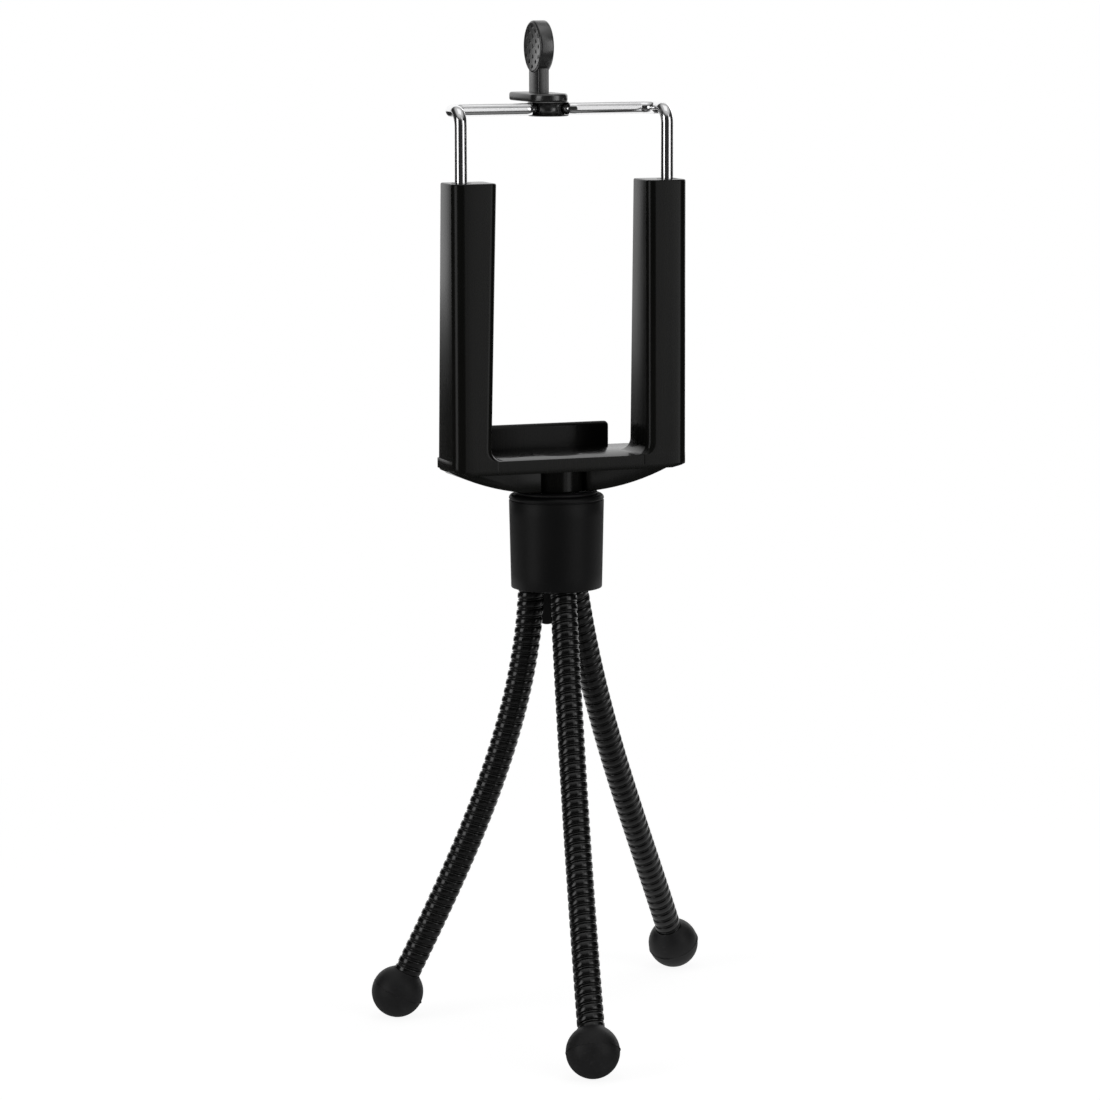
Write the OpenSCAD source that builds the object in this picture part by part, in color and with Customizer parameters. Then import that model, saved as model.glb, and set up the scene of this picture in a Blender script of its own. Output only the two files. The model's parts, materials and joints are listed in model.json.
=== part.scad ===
// Mini tripod with three bendable gooseneck legs and a sprung phone clamp.
// Millimetres, Z up. The floor is Z 0 and the origin is the middle of the footprint.

/* [Stance] */
// Reach of the left foot from the screw's axis
left_reach = 33.2; // [28:0.2:44]
// Direction of the left foot seen from above
left_turn = 159; // [145:1:175]
// Reach of the back foot from the screw's axis
back_reach = 49; // [40:0.5:56]
// Direction of the back foot seen from above
back_turn = 258; // [248:1:275]
// Reach of the right foot from the screw's axis
right_reach = 50.4; // [40:0.2:56]
// Direction of the right foot seen from above
right_turn = 40; // [28:1:52]
// Height of the collar's lower edge above the floor
collar_z = 90.2; // [82:0.2:96]

/* [Legs] */
// Outside diameter of the gooseneck
hose_d = 5.4; // [5:0.1:5.6]
// Depth of the grooves between the gooseneck's bands
rib_depth = 0.4; // [0.2:0.05:0.5]
// Least pitch of the gooseneck's bands
rib_pitch = 1.9; // [1.7:0.1:2.4]
// Bore of the gooseneck
hose_bore_d = 2.8; // [2.6:0.1:3]
// Diameter of the core wire inside the gooseneck
core_d = 1.9; // [1.6:0.1:1.9]
// Radius of the circle on which the legs leave the collar
leg_ring_r = 5.3; // [5.2:0.1:5.5]
// Diameter of a ball foot
foot_d = 10.7; // [9.6:0.1:12]
// Depth to which the gooseneck is sunk into its foot
foot_grip = 3; // [2.4:0.1:3.4]
// Height of the moulding flash round the foot's middle
flash_h = 0.12; // [0.08:0.02:0.2]
// Width of the moulding flash round the foot's middle
flash_w = 0.3; // [0.2:0.05:0.5]
// Gap in the gooseneck at each place where it bends
bend_gap = 0.9; // [0.88:0.01:0.96]
// Length of the gooseneck's upper end above its first bend
stub_l = 8; // [7:0.1:8.4]

/* [Collar] */
// Diameter of the collar at its top
collar_top_d = 19.4; // [19.2:0.1:22]
// Diameter of the collar at its lower edge
collar_low_d = 18.6; // [18.4:0.1:19.4]
// Height of the collar
collar_h = 19.2; // [18.2:0.1:24]
// Bore of the collar
collar_bore_d = 16.8; // [16.6:0.05:17]
// Thickness of the collar's top wall
collar_top_t = 2.6; // [2.2:0.1:3]
// Rounding of the collar's upper edge
collar_edge_r = 0.8; // [0.5:0.05:0.85]
// Distance of the fine ring line below the collar's top
ring_drop = 0.9; // [0.9:0.1:4]
// Width of the fine ring line
ring_w = 0.3; // [0.2:0.05:0.6]
// Depth of the fine ring line
ring_depth = 0.25; // [0.1:0.05:0.4]
// Diameter of the soft pad on top of the collar
pad_d = 16.8; // [15:0.1:17.4]
// Thickness of the soft pad
pad_t = 0.6; // [0.5:0.1:1.4]
// Height of the hub that holds the leg ends inside the collar
hub_h = 9.6; // [8:0.1:10]
// Height of the hub's lower face above the collar's lower edge
hub_lift = 1; // [0.6:0.1:1.6]
// Width of the tab that hangs from the hub on the far side
tab_w = 10.8; // [8:0.2:11]
// Thickness of the hub's tab
tab_t = 1.3; // [1:0.1:1.4]
// Drop of the hub's tab below the collar
tab_drop = 6.6; // [5.6:0.1:7]

/* [Screw] */
// Diameter of the screw that holds the clamp
screw_d = 6.2; // [5.8:0.05:6.3]
// Height of the screw above the collar's top
screw_rise = 5.6; // [5:0.1:6.6]
// Width of the screw's six-sided head over its flats
screw_head_af = 9.5; // [9:0.1:10.5]
// Height of the screw's head
screw_head_h = 4; // [3.4:0.1:4.4]
// Bore of the threaded insert
insert_bore_d = 6.35; // [6.3:0.05:6.4]
// Outside diameter of the threaded insert
insert_d = 8.6; // [8:0.1:9]
// Height of the threaded insert
insert_h = 5; // [4.4:0.1:5.4]
// Diameter of the cover over the insert
cover_d = 10.7; // [9.6:0.1:12]
// Thickness of the cover over the insert
cover_t = 1.2; // [0.8:0.1:1.4]

/* [Clamp base] */
// Height of the clamp's base from the pad to the phone shelf
base_h = 7.6; // [7.4:0.1:9]
// Width of the clamp's base
base_w = 50; // [49.8:0.2:53]
// Thickness of the shelf's band
band_t = 2.8; // [2.4:0.1:3.2]
// Thickness of the band at its two ends
band_end_t = 2; // [1.6:0.1:2.2]
// Width of the band before its ends taper, and of the shelf's front
band_flat_w = 43; // [38:0.5:46]
// Distance from the screw's axis back to the clamp's back face
back_y = 9.9; // [9.6:0.1:12]
// Distance from the screw's axis forward to the shelf's front edge
front_y = 11.1; // [10.6:0.1:13]
// Distance from the screw's axis back to the hull's set-in back face
hull_back_y = 4.8; // [4.4:0.1:6]
// Distance from the screw's axis forward to the hull's front face
hull_front_y = 8.7; // [7:0.1:9.6]
// Distance from the screw's axis forward to where the shelf's ends turn in
wing_front_y = 1.5; // [0.5:0.1:2.5]
// Set-back of the hull's ends from the shelf's ends
hull_inset = 0.4; // [0.3:0.1:0.8]
// Radius of the hull's curved underside
hull_belly_r = 47; // [44:0.5:52]
// Width of the notch in the hull's back
notch_w = 9.7; // [8.8:0.1:10.4]
// Diameter of the boss round the insert
boss_d = 10.9; // [10.6:0.1:11.6]
// Height of the lip along the shelf's front edge
lip_h = 5; // [3:0.1:7]
// Thickness of the lip
lip_t = 2; // [1.4:0.1:2.4]
// Width of the lip
lip_w = 30; // [20:1:40]
// Rounding of the shelf's corners
shelf_corner_r = 2.6; // [1.8:0.1:2.8]

/* [Uprights] */
// Height of the uprights above the shelf
upright_h = 55.5; // [48:0.5:60]
// Distance of an upright's inner face from the middle
upright_in_x = 16.4; // [15.4:0.1:17]
// Distance of an upright's outer face from the middle
upright_out_x = 24.7; // [24.6:0.05:24.9]
// Depth of an upright from back to front
upright_depth = 9.2; // [8.8:0.1:10]
// Rounding of an upright's outer back corner
upright_outer_r = 2.2; // [1.6:0.1:3]
// Rounding of an upright's inner back corner
upright_inner_r = 1.6; // [1:0.1:2.2]
// Rounding of an upright's front corners
upright_front_r = 0.8; // [0.4:0.1:1.2]
// Reach of the fillet at an upright's inner foot
foot_fillet = 2.4; // [1.6:0.1:3]
// Distance of a wire leg from the middle
wire_x = 22; // [21.8:0.1:22.2]
// Distance of the wire legs behind the screw's axis
wire_back_y = 5.4; // [5:0.1:5.6]
// Bore of an upright for its spring
spring_bore_d = 4.2; // [4.1:0.1:4.4]
// Thickness of the floor under the spring bore
bore_floor_t = 0.6; // [0.4:0.1:1.6]
// Length of the guide bush in an upright's mouth
bush_h = 4; // [3:0.1:6]

/* [Sprung wire] */
// Diameter of the sprung wire
wire_d = 2.5; // [2.3:0.1:2.6]
// Width of the phone that the clamp is set to
grip_w = 68.1; // [62:0.1:80]
// Height of the wire's axis above the jaw's underside
wire_lift = 1.5; // [1.45:0.05:1.8]
// Radius of the forward bends at the top of the wire legs
wire_top_r = 2.8; // [2:0.1:3.4]
// Radius of the wire's two front corners
wire_corner_r = 3; // [2:0.1:3.6]
// Distance from the wire legs forward to the wire's front bar
bar_forward = 8; // [7:0.1:12]
// Radius of the small bends beside the jaw
jog_bend_r = 1.6; // [1.4:0.1:2.2]
// Opening travel of the wire beyond the width it is set to
open_travel = 18; // [12:0.5:20]
// Diameter of the stop at a wire leg's lower end
stop_d = 3.9; // [3.5:0.1:4]
// Height of a stop
stop_h = 1.5; // [1:0.1:2.5]
// Outside diameter of a spring
spring_d = 3.9; // [3.7:0.1:4]
// Diameter of the spring's own wire
spring_wire_d = 0.5; // [0.4:0.05:0.5]

/* [Jaw] */
// Diameter of the groove's floor round the spool
waist_d = 5; // [4.6:0.1:5.6]
// Diameter of the spool's lower flare
flare_d = 8.2; // [7.8:0.1:8.6]
// Diameter of the spool's upper flange
flange_d = 7.8; // [7.4:0.1:8.4]
// Thickness of the upper flange and the tongue
tongue_t = 1.7; // [1.5:0.1:2.4]
// Length of the tongue forward of the spool's axis
tongue_l = 14; // [12.4:0.2:16]
// Rounding of the tongue's front corners
tongue_corner_r = 1.6; // [1:0.1:2.4]
// Bevel under the tongue's front edge
tongue_bevel = 1; // [0.6:0.1:1.2]
// Diameter of the paddle's disc
paddle_d = 10.6; // [9:0.1:13]
// Thickness of the paddle's disc
paddle_t = 3; // [2.4:0.1:3.6]
// Height of the paddle's middle above the tongue
paddle_rise = 9.3; // [8.6:0.1:12]
// Thickness of the stalk that carries the paddle
stalk_t = 2.3; // [2:0.1:2.8]
// Width of the stalk from back to front
stalk_w = 6; // [4.6:0.1:7]
// Distance of the stalk forward of the spool's axis
stalk_forward = 5.6; // [4.6:0.1:6]
// Diameter of a dimple in the paddle's faces
dimple_d = 0.8; // [0.5:0.05:1]
// Depth of a dimple
dimple_depth = 0.2; // [0.1:0.05:0.3]

/* [Hidden] */

$fn = 48;
hose_fn = 8;

// Overrun of every cut, the running clearance of fits and the gap between seated faces
cut = 1;
run_gap = 0.08;
seat_gap = 0.1;
press_gap = 0.02;

// Legs, in the order left, back, right. A leg leaves the collar at its root angle
// and reaches its foot on a smooth curve in one upright plane.
LEFT = 0;
BACK = 1;
RIGHT = 2;
links = 5;
root_angle = [147, 267, 27];
foot_reach = [left_reach, back_reach, right_reach];
foot_turn = [left_turn, back_turn, right_turn];
// Lean of the leg from the vertical where it leaves the collar and where it meets its foot
root_lean = [5, 22, 13];
foot_lean = [27, 31, 33];
// Share of the leg's curve above its first bend, and each handle's share of the chord
first_bend_share = 0.03;
handle_share = 1 / 3;

foot_r = foot_d / 2;
hose_r = hose_d / 2;
groove_r = hose_r - rib_depth;
core_r = core_d / 2;

function flat(reach, turn) = [reach * cos(turn), reach * sin(turn)];
function root_at(i) = flat(leg_ring_r, root_angle[i]);
function foot_at(i) = flat(foot_reach[i], foot_turn[i]);
function leg_plane(i) = let (way = foot_at(i) - root_at(i)) atan2(way.y, way.x);
function leg_spread(i) = norm(foot_at(i) - root_at(i));
function leaning(i, out, z) = concat(root_at(i) + flat(out, leg_plane(i)), z);

// The leg's curve: share 0 is the collar's lower edge and share 1 is the foot's middle
function leg_point(i, share) =
    let (
        spread = leg_spread(i),
        drop = collar_z - foot_r,
        handle = handle_share * norm([spread, drop]),
        a = [0, collar_z],
        d = [spread, foot_r],
        b = a + handle * [sin(root_lean[i]), -cos(root_lean[i])],
        c = d - handle * [sin(foot_lean[i]), -cos(foot_lean[i])],
        rest_share = 1 - share,
        p = pow(rest_share, 3) * a + 3 * rest_share * rest_share * share * b
            + 3 * rest_share * share * share * c + pow(share, 3) * d
    )
    leaning(i, p.x, p.y);
function bend_share(k) = first_bend_share + (k - 1) * (1 - first_bend_share) / links;
// Place of bend k of leg i, from 1 at the collar; the one past the last link is the foot's middle
function bend_at(i, k) = leg_point(i, bend_share(k));
// Top of the gooseneck's end in the hub, which carries on the line of the first link
function stub_top(i) =
    let (a = bend_at(i, 1), way = a - bend_at(i, 2))
    a + stub_l * way / norm(way);

// The middle of the footprint is the origin, so the screw's axis stands off it
foot_xs = [for (i = [LEFT : RIGHT]) foot_at(i).x];
foot_ys = [for (i = [LEFT : RIGHT]) foot_at(i).y];
axis_at = -[max(foot_xs) + min(foot_xs), max(foot_ys) + min(foot_ys)] / 2;

// Heights of the collar and of the clamp on it
collar_top_z = collar_z + collar_h;
screw_seat_z = collar_top_z - collar_top_t;
hub_z = collar_z + hub_lift;
base_z = collar_top_z + pad_t + seat_gap;
shelf_z = base_z + base_h;
band_z = shelf_z - band_t;
band_mid_z = shelf_z - band_end_t;
upright_z = shelf_z + upright_h;
insert_z = shelf_z - cover_t - seat_gap - insert_h;
wire_z = shelf_z + grip_w + wire_lift;
wire_r = wire_d / 2;
jaw_z = shelf_z + grip_w;
bar_y = bar_forward - wire_back_y;
jaw_y = bar_y + jog_bend_r;
upright_mid_x = (upright_in_x + upright_out_x) / 2;
upright_front_y = upright_depth - back_y;
spring_floor_z = shelf_z + bore_floor_t;
bush_z = upright_z - bush_h;
rest_gap = 0.15;
close_travel = wire_z - wire_top_r - upright_z - rest_gap;
wire_low_z = spring_floor_z + close_travel + rest_gap;
groove_path_r = waist_d / 2 + run_gap + wire_r;
jog_side_x = groove_path_r + jog_bend_r;
tongue_z = wire_z + wire_r + run_gap;
tongue_top_z = tongue_z + tongue_t;

// Tab of the hub, on the side away from the back leg
tab_turn = root_angle[BACK] - 180;
tab_r = collar_bore_d / 2 - 2 * tab_t / 2 - hub_lift;
tab_neck_w = tab_w / 2;

// Paddle faces: rings of dimples as shares of the disc's radius and copies in each ring
dimple_ring_shares = [0.38, 0.74];
dimple_counts = [5, 11];

module on_axis() {
    translate([axis_at.x, axis_at.y, 0])
        children();
}

// Stands its children, drawn up Z from 0, on point a and lays them along the line to point b
module along(a, b) {
    way = b - a;
    translate(a)
        rotate([0, acos(way.z / norm(way)), atan2(way.y, way.x)])
            children();
}

module mirrored(side) {
    if (side > 0)
        children();
    else
        mirror([1, 0, 0])
            children();
}

// Section of a gooseneck: bands with a groove between each pair, and the bore
module hose(length) {
    ribs = max(2, floor(length / rib_pitch));
    pitch = length / ribs;
    outline = concat(
        [[hose_bore_d / 2, 0]],
        [for (n = [0 : ribs - 1]) each [[groove_r, n * pitch], [hose_r, (n + 1 / 2) * pitch]]],
        [[groove_r, length], [hose_bore_d / 2, length]]
    );
    rotate_extrude($fn = hose_fn)
        polygon(outline);
}

// Link k of leg i, from bend k to bend k + 1, open by half a gap at each bend
module hose_link(i, k) {
    a = bend_at(i, k);
    b = bend_at(i, k + 1);
    low_end = k == links ? foot_r - foot_grip : bend_gap / 2;
    color("#1b1b1d")
        on_axis()
            along(a, b)
                translate([0, 0, bend_gap / 2])
                    hose(norm(b - a) - bend_gap / 2 - low_end);
}

// The short end of gooseneck that stands in the hub
module hose_stub(i) {
    color("#1b1b1d")
        on_axis()
            along(bend_at(i, 1), stub_top(i))
                translate([0, 0, bend_gap / 2])
                    hose(stub_l - bend_gap / 2);
}

// Core wire of a stretch of leg, with a round end that bears in the next stretch's bore
module core_wire(a, b, tail) {
    color("#8b8d90")
        on_axis()
            along(a, b) {
                translate([0, 0, tail])
                    cylinder(h = norm(b - a) - tail, r = core_r, $fn = 24);
                translate([0, 0, norm(b - a)])
                    sphere(core_r, $fn = 24);
            }
}

module core_stub(i) {
    core_wire(stub_top(i), bend_at(i, 1), 0);
}

module core_link(i, k) {
    a = bend_at(i, k);
    b = bend_at(i, k + 1);
    core_wire(a, k == links ? b - (b - a) * core_d / norm(b - a) : b, core_d);
}

// Rubber ball with the flash of its mould round its middle
module foot(i) {
    a = bend_at(i, links);
    b = bend_at(i, links + 1);
    reach = norm(b - a);
    color("#161617")
        on_axis()
            along(b, a)
                difference() {
                    union() {
                        sphere(foot_r);
                        cylinder(h = flash_w, r = foot_r + flash_h, center = true);
                    }
                    translate([0, 0, foot_r - foot_grip])
                        cylinder(h = foot_r, r = hose_r + press_gap);
                    translate([0, 0, core_d - core_r - seat_gap])
                        cylinder(h = foot_r, r = core_r + seat_gap, $fn = 24);
                }
}

// Tapered sleeve with a closed top, a rounded upper edge and one fine ring line
module collar_shell() {
    low_r = collar_low_d / 2;
    top_r = collar_top_d / 2;
    color("#1c1c1e")
        on_axis()
            translate([0, 0, collar_z])
                difference() {
                    rotate_extrude() {
                        translate([top_r - collar_edge_r, collar_h - collar_edge_r])
                            circle(collar_edge_r, $fn = 32);
                        polygon([[0, 0], [low_r, 0], [top_r, collar_h - collar_edge_r],
                            [top_r - collar_edge_r, collar_h - collar_edge_r],
                            [top_r - collar_edge_r, collar_h], [0, collar_h]]);
                    }
                    translate([0, 0, -cut])
                        cylinder(h = collar_h - collar_top_t + cut, d = collar_bore_d);
                    cylinder(h = collar_h + cut, r = screw_d / 2 + press_gap);
                    translate([0, 0, collar_h - ring_drop - ring_w])
                        difference() {
                            cylinder(h = ring_w, r = top_r + cut);
                            translate([0, 0, -cut])
                                cylinder(h = ring_w + 2 * cut, r = top_r - ring_depth);
                        }
                }
}

module top_pad() {
    edge = pad_t / 2;
    color("#101011")
        on_axis()
            translate([0, 0, collar_top_z])
                difference() {
                    rotate_extrude() {
                        translate([pad_d / 2 - edge, edge])
                            circle(edge, $fn = 24);
                        square([pad_d / 2 - edge, pad_t]);
                    }
                    translate([0, 0, -cut])
                        cylinder(h = pad_t + 2 * cut, r = screw_d / 2 + seat_gap);
                }
}

// Bolt with its six-sided head under the collar's top wall
module clamp_screw() {
    tip = screw_d / 8;
    body_h = collar_top_t + screw_rise;
    color("#a9abae")
        on_axis()
            translate([0, 0, screw_seat_z]) {
                cylinder(h = body_h - tip, d = screw_d);
                translate([0, 0, body_h - tip])
                    cylinder(h = tip, d1 = screw_d, d2 = screw_d - 2 * tip);
                translate([0, 0, -screw_head_h])
                    cylinder(h = screw_head_h, d = screw_head_af / cos(180 / 6), $fn = 6);
            }
}

// Plug that holds the three leg ends, with its round-bottomed tab
module leg_hub() {
    tab_round_z = collar_z - tab_drop + tab_w / 2;
    color("#171718")
        on_axis() {
            difference() {
                translate([0, 0, hub_z])
                    cylinder(h = hub_h, r = collar_bore_d / 2 - press_gap);
                for (i = [LEFT : RIGHT])
                    along(bend_at(i, 1), stub_top(i))
                        cylinder(h = stub_l + press_gap, r = hose_r + press_gap);
            }
            rotate([0, 0, tab_turn])
                translate([tab_r, 0, 0]) {
                    translate([0, -tab_neck_w / 2, tab_round_z])
                        cube([tab_t, tab_neck_w, hub_z + cut - tab_round_z]);
                    intersection() {
                        translate([0, 0, tab_round_z])
                            rotate([0, 90, 0])
                                cylinder(h = tab_t, d = tab_w);
                        translate([0, -tab_w / 2, collar_z - tab_drop])
                            cube([tab_t, tab_w, tab_drop - seat_gap]);
                    }
                }
        }
}

// Plan of an upright: a block with rounded corners
module upright_plan(side) {
    w = upright_out_x - upright_in_x;
    mirrored(side)
        translate([upright_in_x, -back_y]) {
            translate([upright_inner_r, upright_inner_r])
                circle(upright_inner_r, $fn = 32);
            translate([w - upright_outer_r, upright_outer_r])
                circle(upright_outer_r, $fn = 32);
            for (x = [upright_front_r, w - upright_front_r])
                translate([x, upright_depth - upright_front_r])
                    circle(upright_front_r, $fn = 32);
            polygon([[upright_inner_r, 0], [w - upright_outer_r, 0], [w, upright_outer_r],
                [w, upright_depth - upright_front_r], [w - upright_front_r, upright_depth],
                [upright_front_r, upright_depth], [0, upright_depth - upright_front_r],
                [0, upright_inner_r]]);
        }
}

// Plan of the shelf: full width at the uprights, narrower in front of them
module shelf_plan() {
    half = base_w / 2;
    flat = band_flat_w / 2;
    turn_y = wing_front_y + half - flat;
    r = shelf_corner_r;
    for (x = [-1, 1]) {
        translate([x * (half - r), r - back_y])
            circle(r, $fn = 32);
        translate([x * (flat - r), front_y - r])
            circle(r, $fn = 32);
    }
    polygon([[r - half, -back_y], [half - r, -back_y], [half, r - back_y], [half, wing_front_y],
        [flat, turn_y], [flat, front_y - r], [flat - r, front_y], [r - flat, front_y],
        [-flat, front_y - r], [-flat, turn_y], [-half, wing_front_y], [-half, r - back_y]]);
}

// Band of the shelf, with a tapered underside at both ends
module shelf_band() {
    half = base_w / 2;
    intersection() {
        translate([0, front_y, 0])
            rotate([90, 0, 0])
                linear_extrude(front_y + back_y)
                    polygon([[-half, band_mid_z], [-band_flat_w / 2, band_z],
                        [band_flat_w / 2, band_z], [half, band_mid_z], [half, shelf_z],
                        [-half, shelf_z]]);
        translate([0, 0, band_z - cut])
            linear_extrude(band_t + 2 * cut)
                shelf_plan();
    }
}

// Boat-shaped hull: its underside curves up to the ends, and a notch is left in its back
module base_hull() {
    half = base_w / 2 - hull_inset;
    flat = band_flat_w / 2 - hull_inset;
    rise = band_mid_z - hull_inset - base_z;
    belly_x = half - sqrt(2 * hull_belly_r * rise - rise * rise);
    difference() {
        for (x = [-1, 1])
            intersection() {
                translate([0, 0, base_z])
                    linear_extrude(band_mid_z - base_z)
                        polygon([[-half, -hull_back_y], [half, -hull_back_y], [half, wing_front_y],
                            [flat, wing_front_y + half - flat], [flat, hull_front_y],
                            [-flat, hull_front_y], [-flat, wing_front_y + half - flat],
                            [-half, wing_front_y]]);
                translate([x * belly_x, hull_front_y + cut, base_z + hull_belly_r])
                    rotate([90, 0, 0])
                        cylinder(h = hull_front_y + hull_back_y + 2 * cut, r = hull_belly_r, $fn = 240);
            }
        translate([-notch_w / 2, -hull_back_y - cut, base_z - cut])
            cube([notch_w, hull_back_y + cut, band_z - base_z + cut]);
    }
    translate([0, 0, base_z])
        cylinder(h = band_mid_z - base_z, d = boss_d);
}

// Fillet at an upright's inner foot, seen from the back
module upright_fillet(side) {
    mirrored(side)
        translate([0, upright_front_y - upright_front_r, 0])
            rotate([90, 0, 0])
                linear_extrude(upright_depth - upright_front_r - upright_inner_r)
                    difference() {
                        translate([upright_in_x - foot_fillet, shelf_z - cut])
                            square([foot_fillet + cut, foot_fillet + cut]);
                        translate([upright_in_x - foot_fillet, shelf_z + foot_fillet])
                            circle(foot_fillet, $fn = 40);
                    }
}

module clamp_body() {
    color("#18181a")
        on_axis()
            difference() {
                union() {
                    shelf_band();
                    base_hull();
                    for (side = [-1, 1]) {
                        translate([0, 0, band_mid_z])
                            linear_extrude(upright_z - band_mid_z)
                                upright_plan(side);
                        upright_fillet(side);
                    }
                    translate([-lip_w / 2, front_y - lip_t, shelf_z - band_t])
                        cube([lip_w, lip_t, lip_h + band_t]);
                }
                for (side = [-1, 1])
                    translate([side * wire_x, -wire_back_y, spring_floor_z])
                        cylinder(h = upright_h + cut, d = spring_bore_d);
                translate([0, 0, shelf_z - cover_t])
                    cylinder(h = cover_t + cut, r = cover_d / 2 - press_gap);
                translate([0, 0, insert_z])
                    cylinder(h = base_h, r = insert_d / 2 + press_gap);
                translate([0, 0, base_z - cut])
                    cylinder(h = base_h, r = insert_bore_d / 2 + seat_gap);
            }
}

module threaded_insert() {
    color("#b8964e")
        on_axis()
            translate([0, 0, insert_z])
                difference() {
                    cylinder(h = insert_h, d = insert_d);
                    translate([0, 0, -cut])
                        cylinder(h = insert_h + 2 * cut, d = insert_bore_d);
                }
}

module insert_cover() {
    color("#202022")
        on_axis()
            translate([0, 0, shelf_z - cover_t])
                cylinder(h = cover_t, r = cover_d / 2 - 2 * press_gap);
}

module guide_bush(side) {
    color("#222224")
        on_axis()
            translate([side * wire_x, -wire_back_y, bush_z])
                difference() {
                    cylinder(h = bush_h, r = spring_bore_d / 2 - press_gap);
                    translate([0, 0, -cut])
                        cylinder(h = bush_h + 2 * cut, r = wire_r + run_gap);
                }
}

// Envelope of the hidden spring round a wire leg, from the stop up to the bush
module spring_sleeve(side) {
    low = wire_low_z + stop_h + seat_gap;
    length = bush_z - seat_gap - low;
    color("#9a9c9f")
        on_axis()
            translate([side * wire_x, -wire_back_y, low])
                difference() {
                    cylinder(h = length, d = spring_d);
                    translate([0, 0, -cut])
                        cylinder(h = length + 2 * cut, r = spring_d / 2 - spring_wire_d);
                }
}

module wire_stop(side) {
    color("#8f9194")
        on_axis()
            translate([side * wire_x, -wire_back_y, wire_low_z])
                difference() {
                    cylinder(h = stop_h, d = stop_d);
                    translate([0, 0, -cut])
                        cylinder(h = stop_h + 2 * cut, r = wire_r + press_gap);
                }
}

// A round-wire bend in the XY plane about the origin, from angle a0 to a1
module wire_bend(bend_r, a0, a1) {
    rotate([0, 0, a0])
        rotate_extrude(angle = a1 - a0)
            translate([bend_r, 0])
                circle(wire_r, $fn = 32);
}

// Right half of the wire: up the upright, forward, in, and into the bend beside the spool
module wire_half(side) {
    mirrored(side) {
        translate([wire_x, -wire_back_y, wire_low_z])
            cylinder(h = wire_z - wire_top_r - wire_low_z, r = wire_r, $fn = 32);
        translate([wire_x, wire_top_r - wire_back_y, wire_z - wire_top_r])
            rotate([90, 0, 90])
                wire_bend(wire_top_r, 90, 180);
        translate([wire_x, wire_top_r - wire_back_y, wire_z])
            rotate([-90, 0, 0])
                cylinder(h = bar_forward - wire_top_r - wire_corner_r, r = wire_r, $fn = 32);
        translate([wire_x - wire_corner_r, bar_y - wire_corner_r, wire_z])
            wire_bend(wire_corner_r, 0, 90);
        translate([jog_side_x, bar_y, wire_z])
            rotate([0, 90, 0])
                cylinder(h = wire_x - wire_corner_r - jog_side_x, r = wire_r, $fn = 32);
        translate([jog_side_x, jaw_y, wire_z])
            wire_bend(jog_bend_r, 180, 270);
    }
}

module sprung_wire() {
    color("#c9cccf")
        on_axis() {
            wire_half(-1);
            wire_half(1);
            translate([0, jaw_y, wire_z])
                wire_bend(groove_path_r, 0, 180);
        }
}

// Spool that swings in the wire's jog, with its tongue over the phone's edge and its finger paddle
module jaw_paddle() {
    flange_r = flange_d / 2;
    bevel_side = norm([tongue_bevel, tongue_bevel]);
    color("#19191b")
        on_axis()
            translate([0, jaw_y, 0])
                difference() {
                    union() {
                        translate([0, 0, jaw_z])
                            cylinder(h = tongue_z - jaw_z, d = flare_d);
                        translate([0, 0, tongue_z])
                            cylinder(h = tongue_t, r = flange_r);
                        difference() {
                            translate([0, 0, tongue_z])
                                linear_extrude(tongue_t) {
                                    translate([-flange_r, 0])
                                        square([flange_d, tongue_l - tongue_corner_r]);
                                    translate([tongue_corner_r - flange_r, 0])
                                        square([flange_d - 2 * tongue_corner_r, tongue_l]);
                                    for (side = [-1, 1])
                                        translate([side * (flange_r - tongue_corner_r),
                                            tongue_l - tongue_corner_r])
                                            circle(tongue_corner_r, $fn = 32);
                                }
                            translate([0, tongue_l, tongue_z])
                                rotate([45, 0, 0])
                                    cube([flange_d + cut, bevel_side, bevel_side], center = true);
                        }
                        translate([-stalk_t / 2, stalk_forward - stalk_w / 2, tongue_z])
                            cube([stalk_t, stalk_w, tongue_t + paddle_rise]);
                        translate([-paddle_t / 2, stalk_forward, tongue_top_z + paddle_rise])
                            rotate([0, 90, 0])
                                cylinder(h = paddle_t, d = paddle_d);
                    }
                    translate([0, 0, wire_z])
                        rotate_extrude()
                            translate([groove_path_r, 0])
                                circle(wire_r + run_gap, $fn = 32);
                    paddle_dimples();
                }
}

// Rings of shallow round dimples on both faces of the paddle
module paddle_dimples() {
    translate([0, stalk_forward, tongue_top_z + paddle_rise])
        for (side = [-1, 1], ring = [0 : len(dimple_counts) - 1], n = [1 : dimple_counts[ring]])
            rotate([n * 360 / dimple_counts[ring], 0, 0])
                translate([side * paddle_t / 2, 0, dimple_ring_shares[ring] * paddle_d / 2])
                    rotate([0, 90, 0])
                        cylinder(h = 2 * dimple_depth, d = dimple_d, center = true, $fn = 16);
}

collar_shell();
top_pad();
clamp_screw();
leg_hub();
clamp_body();
threaded_insert();
insert_cover();
guide_bush(-1);  // left_guide_bush
guide_bush(1);  // right_guide_bush
spring_sleeve(-1);  // left_spring
spring_sleeve(1);  // right_spring
sprung_wire();
wire_stop(-1);  // left_wire_stop
wire_stop(1);  // right_wire_stop
jaw_paddle();
hose_stub(LEFT);  // left_leg_hose_0
hose_link(LEFT, 1);  // left_leg_hose_1
hose_link(LEFT, 2);  // left_leg_hose_2
hose_link(LEFT, 3);  // left_leg_hose_3
hose_link(LEFT, 4);  // left_leg_hose_4
hose_link(LEFT, 5);  // left_leg_hose_5
core_stub(LEFT);  // left_leg_core_0
core_link(LEFT, 1);  // left_leg_core_1
core_link(LEFT, 2);  // left_leg_core_2
core_link(LEFT, 3);  // left_leg_core_3
core_link(LEFT, 4);  // left_leg_core_4
core_link(LEFT, 5);  // left_leg_core_5
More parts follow.
